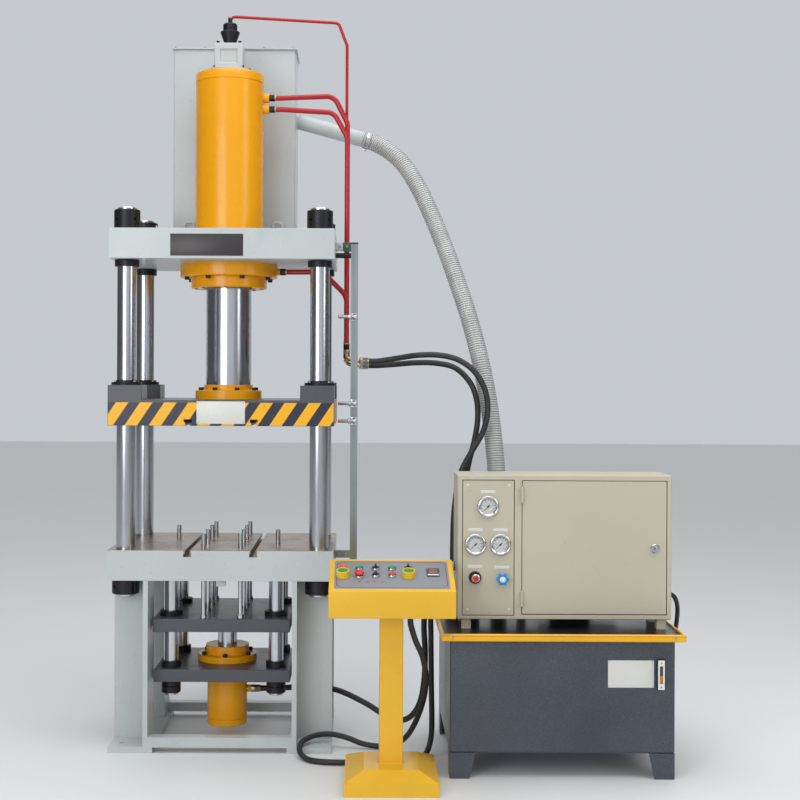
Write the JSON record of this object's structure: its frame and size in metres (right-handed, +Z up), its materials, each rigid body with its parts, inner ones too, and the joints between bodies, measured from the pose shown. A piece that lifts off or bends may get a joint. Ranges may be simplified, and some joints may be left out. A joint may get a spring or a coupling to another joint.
{
  "type": "four-column hydraulic press",
  "caption": "Four-column hydraulic press with a top oil tank, lower ejector, separate power unit with an electric cabinet, and a push-button console on a post.",
  "frame": {"origin": "on the floor, at the middle of the whole machine's floor area without its hoses and cables", "axes": "+Z up, the press and its power unit face -Y, +X to the operator's right"},
  "size_m": [2.5906, 1.524, 3.4537],
  "materials": {
    "grey_paint": "light grey gloss paint",
    "orange_paint": "orange yellow gloss paint",
    "console_yellow": "yellow gloss paint",
    "tank_hammer": "dark blue grey hammered paint",
    "slide_paint": "dark grey satin paint",
    "cabinet_paint": "beige fine textured powder coat",
    "black_oxide": "black oxide",
    "chrome": "ground hard chrome",
    "machined": "milled steel with an oil film",
    "red_paint": "red gloss paint",
    "aluminium": "anodised",
    "rubber": "black matte",
    "clear_hose": "clear plastic with a steel spiral",
    "red_plastic": "gloss",
    "green_plastic": "gloss",
    "black_plastic": "satin",
    "blue_plastic": "gloss"
  },
  "bodies": {
    "press_frame": {"base_frame": "grey_paint", "table": "machined", "crown": "grey_paint", "lifting_eye_left": "grey_paint", "lifting_eye_right": "grey_paint", "column_front_left": "chrome", "column_front_right": "chrome", "column_rear_left": "chrome", "column_rear_right": "chrome", "main_cylinder": "orange_paint", "gland_ring": "orange_paint", "prefill_valve": "grey_paint", "top_tank": "grey_paint", "feed_pipe_upper": "red_paint", "feed_pipe_lower": "red_paint", "pilot_pipe": "red_paint", "return_pipe": "red_paint", "limit_rail": "aluminium", "limit_switch_upper": "chrome", "limit_switch_middle": "chrome", "limit_switch_lower": "chrome", "ejector_frame": "chrome", "ejector_cylinder": "orange_paint", "oil_tank": "tank_hammer", "drip_tray": "console_yellow", "cabinet": "cabinet_paint", "gauge_panel": "cabinet_paint", "motor": "slide_paint", "pump": "black_oxide", "valve_block": "red_paint", "console_stand": "console_yellow", "console_box": "console_yellow", "suction_hose": "clear_hose", "pressure_hose_upper": "rubber", "pressure_hose_lower": "rubber", "ejector_hose": "rubber", "console_cable": "rubber", "cabinet_cable": "rubber"},
    "slide_unit": {"slide": "slide_paint", "ram": "chrome", "ram_flange": "orange_paint"},
    "ejector_unit": {"ejector_plate": "orange_paint", "ejector_ram": "chrome"},
    "door": {"cabinet_door": "cabinet_paint"},
    "lock": {"door_lock": "chrome"},
    "needle_main_body": {"needle_main": "black_plastic"},
    "needle_left_body": {"needle_left": "black_plastic"},
    "needle_right_body": {"needle_right": "black_plastic"},
    "throttle_body": {"throttle_knob": "chrome"},
    "star_body": {"star_knob": "blue_plastic"},
    "power_lamp_button_body": {"power_lamp_button": "red_plastic"},
    "start_button_body": {"start_button": "green_plastic"},
    "mode_selector_body": {"mode_selector": "black_plastic"},
    "return_button_body": {"return_button": "green_plastic"},
    "ejector_selector_body": {"ejector_selector": "black_plastic"},
    "left_press_button_body": {"left_press_button": "green_plastic"},
    "emergency_stop_body": {"emergency_stop": "red_plastic"},
    "motor_selector_body": {"motor_selector": "black_plastic"},
    "stop_button_body": {"stop_button": "red_plastic"},
    "right_press_button_body": {"right_press_button": "green_plastic"}
  },
  "joints": [
    {"name": "slide_stroke", "type": "slide", "parent": "press_frame", "child": "slide_unit", "axis": [0, 0, 1], "range_m": [-0.36, 0.2]},
    {"name": "ejector_lift", "type": "slide", "parent": "press_frame", "child": "ejector_unit", "axis": [0, 0, 1], "range_m": [-0.09, 0.1]},
    {"name": "door_swing", "type": "hinge", "parent": "press_frame", "child": "door", "pos_m": [0.5875, -0.3855, 0.973], "axis": [0, 0, -1], "range_deg": [0, 110]},
    {"name": "lock_turn", "type": "hinge", "parent": "door", "child": "lock", "pos_m": [1.167, -0.378, 0.971], "axis": [0, 1, 0], "range_deg": [0, 90]},
    {"name": "throttle_turn", "type": "hinge", "parent": "press_frame", "child": "throttle_body", "pos_m": [0.384, -0.378, 0.8415], "axis": [0, 1, 0], "continuous": true},
    {"name": "star_turn", "type": "hinge", "parent": "press_frame", "child": "star_body", "pos_m": [0.5007, -0.378, 0.838], "axis": [0, 1, 0], "continuous": true},
    {"name": "needle_main_sweep", "type": "hinge", "parent": "press_frame", "child": "needle_main_body", "pos_m": [0.439, -0.378, 1.151], "axis": [0, 1, 0], "range_deg": [0, 270], "stiffness_Nm_per_rad": 0.001},
    {"name": "needle_left_sweep", "type": "hinge", "parent": "press_frame", "child": "needle_left_body", "pos_m": [0.384, -0.378, 0.985], "axis": [0, 1, 0], "range_deg": [0, 270], "stiffness_Nm_per_rad": 0.001},
    {"name": "needle_right_sweep", "type": "hinge", "parent": "press_frame", "child": "needle_right_body", "pos_m": [0.493, -0.378, 0.985], "axis": [0, 1, 0], "range_deg": [0, 270], "stiffness_Nm_per_rad": 0.001},
    {"name": "power_lamp_button_press", "type": "slide", "parent": "press_frame", "child": "power_lamp_button_body", "axis": [0, 0.3024, -0.9532], "range_m": [0, 0.003], "stiffness_N_per_m": 400, "springref_m": -0.001},
    {"name": "start_button_press", "type": "slide", "parent": "press_frame", "child": "start_button_body", "axis": [0, 0.3024, -0.9532], "range_m": [0, 0.003], "stiffness_N_per_m": 400, "springref_m": -0.001},
    {"name": "mode_selector_turn", "type": "hinge", "parent": "press_frame", "child": "mode_selector_body", "pos_m": [-0.051, -0.52736, 0.89448], "axis": [0, -0.3024, 0.9532], "range_deg": [-45, 45]},
    {"name": "return_button_press", "type": "slide", "parent": "press_frame", "child": "return_button_body", "axis": [0, 0.3024, -0.9532], "range_m": [0, 0.003], "stiffness_N_per_m": 400, "springref_m": -0.001},
    {"name": "ejector_selector_turn", "type": "hinge", "parent": "press_frame", "child": "ejector_selector_body", "pos_m": [0.087, -0.52736, 0.89448], "axis": [0, -0.3024, 0.9532], "range_deg": [-45, 45]},
    {"name": "left_press_button_press", "type": "slide", "parent": "press_frame", "child": "left_press_button_body", "axis": [0, 0.3024, -0.9532], "range_m": [0, 0.003], "stiffness_N_per_m": 400, "springref_m": -0.001},
    {"name": "emergency_stop_press", "type": "slide", "parent": "press_frame", "child": "emergency_stop_body", "axis": [0, 0.3024, -0.9532], "range_m": [0, 0.003], "stiffness_N_per_m": 400, "springref_m": -0.001},
    {"name": "motor_selector_turn", "type": "hinge", "parent": "press_frame", "child": "motor_selector_body", "pos_m": [-0.051, -0.58932, 0.87482], "axis": [0, -0.3024, 0.9532], "range_deg": [-45, 45]},
    {"name": "stop_button_press", "type": "slide", "parent": "press_frame", "child": "stop_button_body", "axis": [0, 0.3024, -0.9532], "range_m": [0, 0.003], "stiffness_N_per_m": 400, "springref_m": -0.001},
    {"name": "right_press_button_press", "type": "slide", "parent": "press_frame", "child": "right_press_button_body", "axis": [0, 0.3024, -0.9532], "range_m": [0, 0.003], "stiffness_N_per_m": 400, "springref_m": -0.001}
  ]
}
